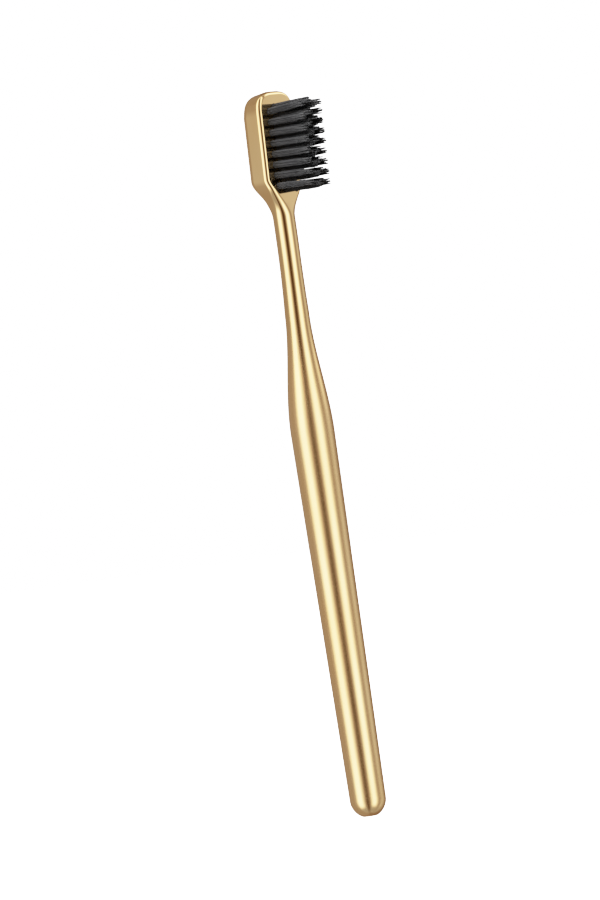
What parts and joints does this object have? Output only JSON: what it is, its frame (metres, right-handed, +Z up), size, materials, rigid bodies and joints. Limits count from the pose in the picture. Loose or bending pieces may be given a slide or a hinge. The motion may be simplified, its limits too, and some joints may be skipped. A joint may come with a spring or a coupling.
{
  "type": "manual toothbrush",
  "caption": "Manual toothbrush with a round tapered grip, a slim neck and a flat head that holds columns of tapered black bristle tufts for cleaning teeth by hand.",
  "frame": {"origin": "centre of the small flat on the domed butt end of the grip, on the grip's axis", "axes": "+Z up the grip from the butt end to the head, -Y out of the face of the head along the bristles, +X across the head"},
  "size_m": [0.0136, 0.0217, 0.185],
  "materials": {
    "gold_finish": "bright pale-gold metallised skin over hard plastic, polished on the head and neck, slightly satin on the grip",
    "black_filament": "glossy black nylon filament",
    "anchor_wire": "bright flat-rolled wire"
  },
  "bodies": {
    "root": {"handle": "gold_finish", "tuft_anchors": "anchor_wire", "tuft_1_1": "black_filament", "tuft_1_2": "black_filament", "tuft_1_3": "black_filament", "tuft_1_4": "black_filament", "tuft_1_5": "black_filament", "tuft_1_6": "black_filament", "tuft_1_7": "black_filament", "tuft_1_8": "black_filament", "tuft_2_1": "black_filament", "tuft_2_2": "black_filament", "tuft_2_3": "black_filament", "tuft_2_4": "black_filament", "tuft_2_5": "black_filament", "tuft_2_6": "black_filament", "tuft_2_7": "black_filament", "tuft_2_8": "black_filament", "tuft_2_9": "black_filament", "tuft_3_1": "black_filament", "tuft_3_2": "black_filament", "tuft_3_3": "black_filament", "tuft_3_4": "black_filament", "tuft_3_5": "black_filament", "tuft_3_6": "black_filament", "tuft_3_7": "black_filament", "tuft_3_8": "black_filament", "tuft_4_1": "black_filament", "tuft_4_2": "black_filament", "tuft_4_3": "black_filament", "tuft_4_4": "black_filament", "tuft_4_5": "black_filament", "tuft_4_6": "black_filament", "tuft_4_7": "black_filament", "tuft_4_8": "black_filament", "tuft_4_9": "black_filament"}
  },
  "joints": []
}
